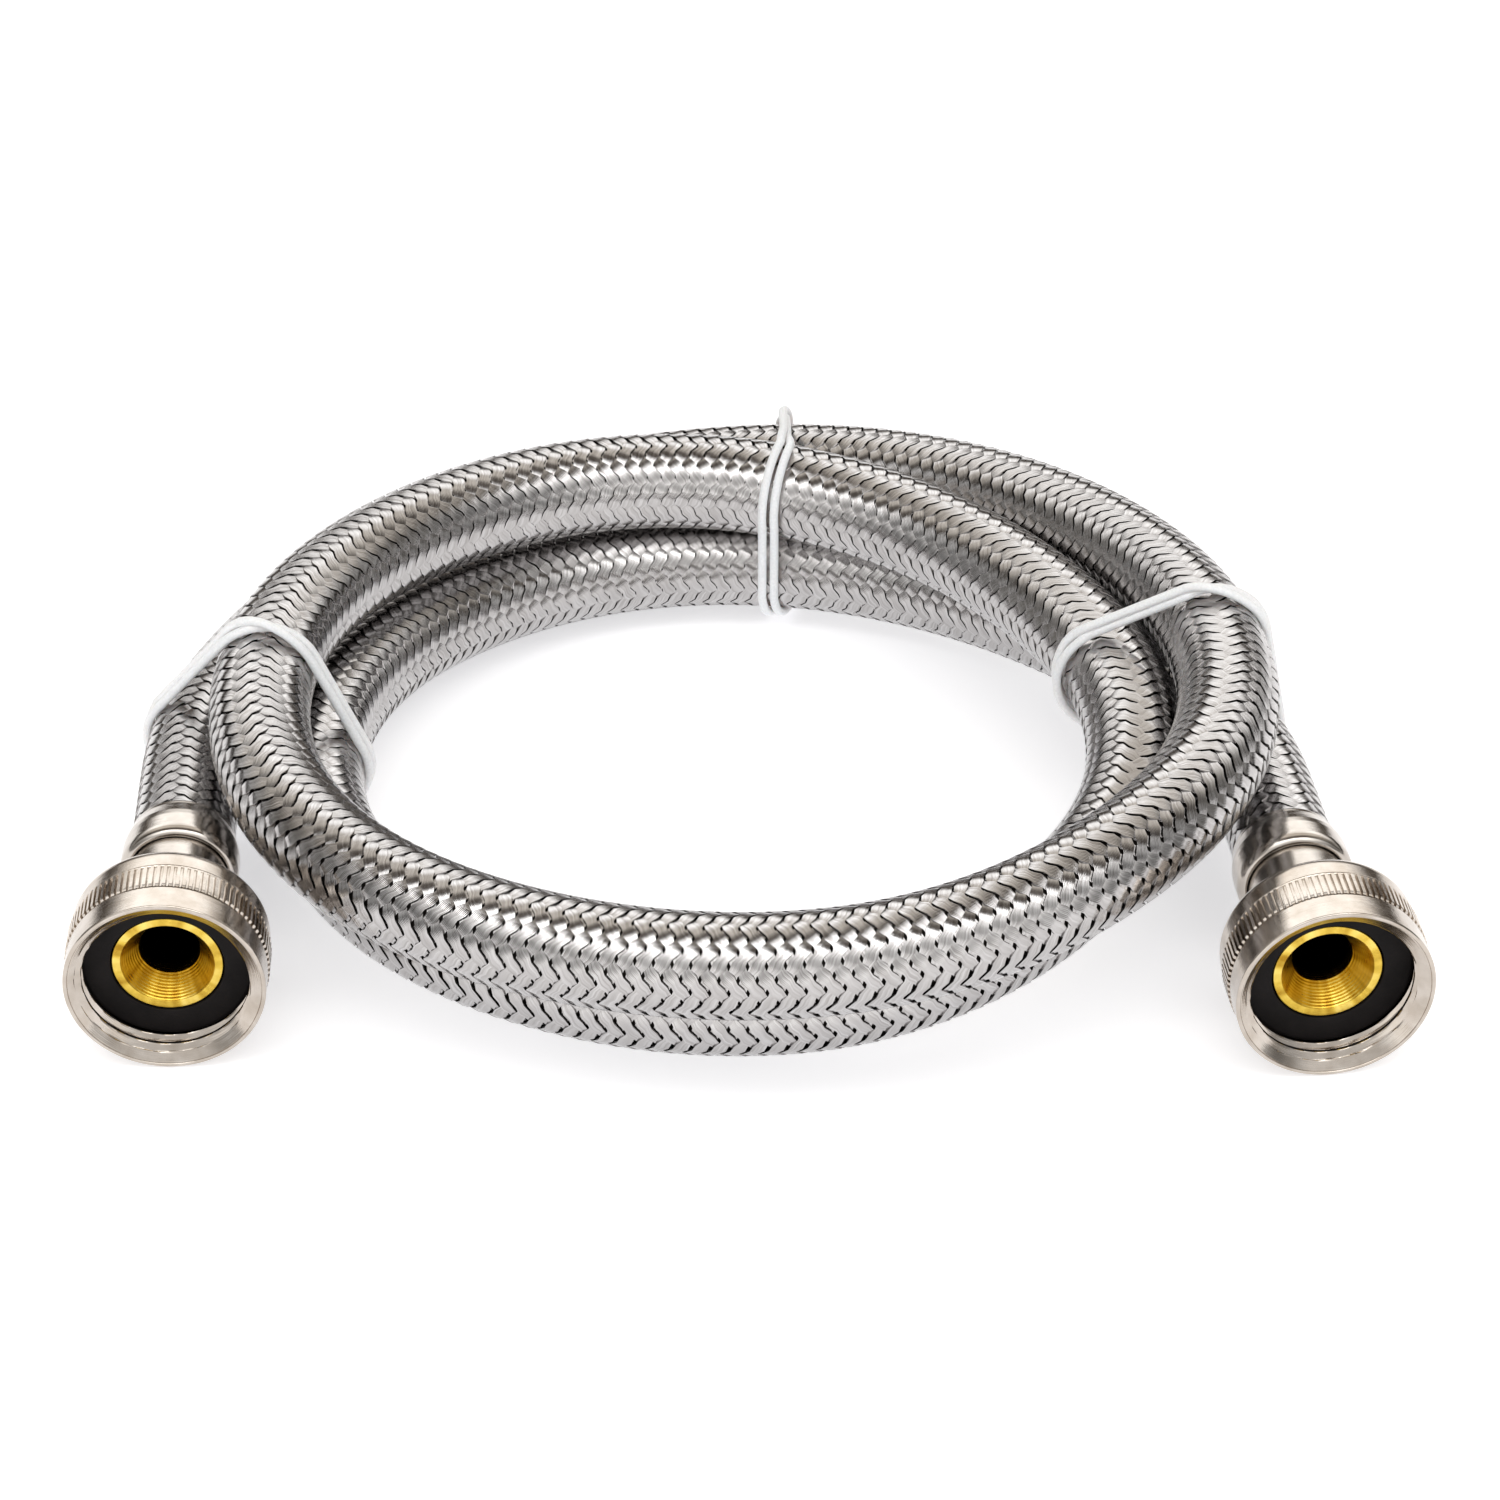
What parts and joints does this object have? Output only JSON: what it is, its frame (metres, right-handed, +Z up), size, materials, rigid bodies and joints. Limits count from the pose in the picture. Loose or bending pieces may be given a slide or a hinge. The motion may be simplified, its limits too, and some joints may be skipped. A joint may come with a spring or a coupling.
{
  "type": "braided supply line",
  "caption": "Braided stainless supply hose with a swivel coupling nut, rubber washer and crimped ferrule at each end, coiled and held by white ties.",
  "frame": {"origin": "centre of the bounding box in plan, on the floor the coil lies on", "axes": "+X across the coil, from the left fitting to the right one; +Y from the fittings to the back of the coil; +Z up"},
  "size_m": [0.2055, 0.1698, 0.0424],
  "materials": {
    "braid": "bright flat-wire braid",
    "tube": "matte",
    "ferrule": "pressed, polished",
    "nut": "nickel plated",
    "brass": "turned, plated outside the nut",
    "washer": "matte",
    "tie": "matte cord"
  },
  "bodies": {
    "hose": {"braid_sleeve": "braid", "inner_tube": "tube", "left_tailpiece": "brass", "left_ferrule": "ferrule", "right_tailpiece": "brass", "right_ferrule": "ferrule", "tie_left": "tie", "tie_back": "tie", "tie_right": "tie"},
    "left_seal": {"left_washer": "washer"},
    "left_nut": {"left_coupling_nut": "nut"},
    "right_seal": {"right_washer": "washer"},
    "right_nut": {"right_coupling_nut": "nut"}
  },
  "joints": [
    {"name": "left_end_play", "type": "slide", "parent": "hose", "child": "left_seal", "axis": [0.0175, -0.9998, 0], "range_m": [0, 0.0011]},
    {"name": "left_nut_spin", "type": "hinge", "parent": "left_seal", "child": "left_nut", "pos_m": [-0.0872, -0.0695, 0.0154], "axis": [0.0175, -0.9998, 0], "continuous": true},
    {"name": "right_end_play", "type": "slide", "parent": "hose", "child": "right_seal", "axis": [0.1219, -0.9925, 0], "range_m": [0, 0.0011]},
    {"name": "right_nut_spin", "type": "hinge", "parent": "right_seal", "child": "right_nut", "pos_m": [0.0877, -0.0714, 0.0154], "axis": [0.1219, -0.9925, 0], "continuous": true}
  ]
}
